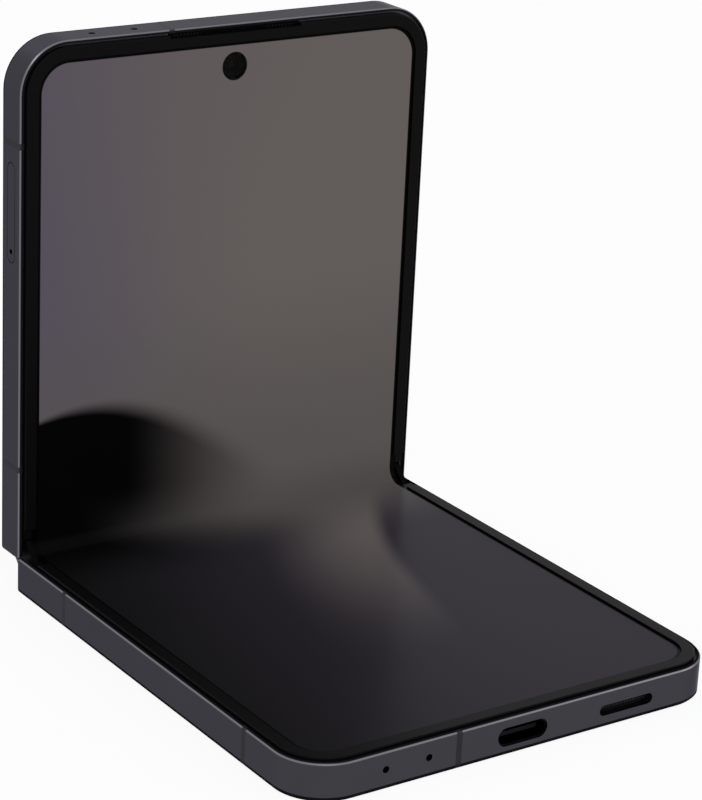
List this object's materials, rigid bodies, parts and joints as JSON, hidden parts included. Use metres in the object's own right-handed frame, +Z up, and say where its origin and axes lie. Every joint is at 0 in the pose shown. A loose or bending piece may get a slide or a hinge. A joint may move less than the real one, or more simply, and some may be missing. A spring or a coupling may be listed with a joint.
{
  "type": "foldable smartphone",
  "caption": "Clamshell folding phone half open: two glass-backed halves on a geared hinge spine, with a bending inner display.",
  "frame": {"origin": "centre of the underside of the lower half, where the phone rests on a table", "axes": "+Z up from the table; -Y towards the lower half's free end with the charging socket; -X towards the SIM tray's side"},
  "size_m": [0.0756, 0.09, 0.0892],
  "materials": {
    "frame_metal": "anodised, satin",
    "spine_metal": "polished, anodised",
    "antenna_plastic": "moulded in, satin",
    "back_glass": "etched glass, satin",
    "cover_glass": "polished black glass",
    "bezel_black": "satin black",
    "screen": "polished film over a lit panel",
    "panel_black": "panel that is off",
    "steel_plate": "rolled, thin",
    "hinge_steel": "machined, greased",
    "zinc_cast": "moulded metal",
    "spring_steel": "tempered",
    "screw_steel": "blackened head",
    "cell_pouch": "foil pouch, wrapped",
    "copper_coil": "lacquered copper",
    "board_green": "solder mask",
    "flex_film": "polyimide film",
    "module_black": "moulded",
    "mesh_dark": "etched and blackened",
    "can_metal": "tinned",
    "contact_gold": "plated",
    "lens_glass": "coated glass",
    "ring_metal": "turned and anodised",
    "flash_plastic": "clear with phosphor"
  },
  "bodies": {
    "lower_half": {"lower_frame": "frame_metal", "lower_antenna_bands": "antenna_plastic", "lower_back_glass": "back_glass", "lower_bezel": "bezel_black", "lower_display": "screen", "lower_wing_plate": "steel_plate", "lower_rotators": "hinge_steel", "lower_battery": "cell_pouch", "charging_coil": "copper_coil", "sub_board": "board_green", "usb_port": "can_metal", "loudspeaker": "module_black", "speaker_mesh": "mesh_dark", "vibration_motor": "can_metal", "lower_microphones": "contact_gold", "lower_screws": "screw_steel"},
    "hinge_spine": {"spine_cover": "spine_metal", "hinge_housings": "zinc_cast", "hinge_end_caps": "bezel_black", "friction_washers": "spring_steel", "hinge_screws": "screw_steel", "display_fold": "screen", "hinge_flex": "flex_film"},
    "lower_sync": {"lower_sync_arms": "hinge_steel"},
    "upper_sync": {"upper_sync_arms": "hinge_steel"},
    "lower_idler": {"lower_idler_gears": "hinge_steel"},
    "upper_idler": {"upper_idler_gears": "hinge_steel"},
    "upper_half": {"upper_frame": "frame_metal", "upper_antenna_bands": "antenna_plastic", "cover_glass": "cover_glass", "cover_display": "panel_black", "upper_bezel": "bezel_black", "upper_display": "screen", "upper_wing_plate": "steel_plate", "upper_rotators": "hinge_steel", "upper_battery": "cell_pouch", "main_board": "board_green", "shield_can": "can_metal", "main_camera": "module_black", "wide_camera": "module_black", "camera_rings": "ring_metal", "camera_windows": "lens_glass", "camera_lenses": "lens_glass", "flash_lens": "flash_plastic", "selfie_camera": "module_black", "selfie_window": "lens_glass", "earpiece": "module_black", "earpiece_grille": "mesh_dark", "sim_socket": "can_metal", "key_flex": "flex_film", "upper_microphones": "contact_gold", "upper_screws": "screw_steel"},
    "volume_rocker": {"volume_key": "frame_metal"},
    "side_button": {"power_key": "frame_metal"},
    "tray": {"sim_tray": "frame_metal"}
  },
  "joints": [
    {"name": "lower_fold", "type": "hinge", "parent": "lower_half", "child": "hinge_spine", "pos_m": [0, 0.03997, 0.0051], "axis": [1, 0, 0], "range_deg": [-45, 45], "deforming": ["display_fold", "hinge_flex"]},
    {"name": "upper_fold", "type": "hinge", "parent": "hinge_spine", "child": "upper_half", "pos_m": [0, 0.04245, 0.00757], "axis": [1, 0, 0], "range_deg": [-45, 45], "deforming": ["display_fold", "hinge_flex"]},
    {"name": "lower_sync_turn", "type": "hinge", "parent": "hinge_spine", "child": "lower_sync", "pos_m": [0, 0.03997, 0.00333], "axis": [1, 0, 0], "range_deg": [-45, 45]},
    {"name": "lower_idler_turn", "type": "hinge", "parent": "hinge_spine", "child": "lower_idler", "pos_m": [0, 0.04139, 0.00475], "axis": [1, 0, 0], "range_deg": [-45, 45]},
    {"name": "upper_idler_turn", "type": "hinge", "parent": "hinge_spine", "child": "upper_idler", "pos_m": [0, 0.0428, 0.00616], "axis": [1, 0, 0], "range_deg": [-45, 45]},
    {"name": "upper_sync_turn", "type": "hinge", "parent": "hinge_spine", "child": "upper_sync", "pos_m": [0, 0.04422, 0.00757], "axis": [1, 0, 0], "range_deg": [-45, 45]},
    {"name": "volume_rock", "type": "hinge", "parent": "upper_half", "child": "volume_rocker", "pos_m": [0.0357, 0.04442, 0.06283], "axis": [0, 1, 0], "range_deg": [-2, 2], "stiffness_Nm_per_rad": 0.01},
    {"name": "power_press", "type": "slide", "parent": "upper_half", "child": "side_button", "axis": [-1, 0, 0], "range_m": [0, 0.00018], "stiffness_N_per_m": 200},
    {"name": "tray_slide", "type": "slide", "parent": "upper_half", "child": "tray", "axis": [-1, 0, 0], "range_m": [0, 0.016]}
  ],
  "couplings": [
    {"joint": "upper_fold", "follows": "lower_fold", "ratio": 1},
    {"joint": "lower_sync_turn", "follows": "lower_fold", "ratio": -1},
    {"joint": "lower_idler_turn", "follows": "lower_fold", "ratio": 1},
    {"joint": "upper_idler_turn", "follows": "lower_fold", "ratio": -1},
    {"joint": "upper_sync_turn", "follows": "lower_fold", "ratio": 1}
  ]
}
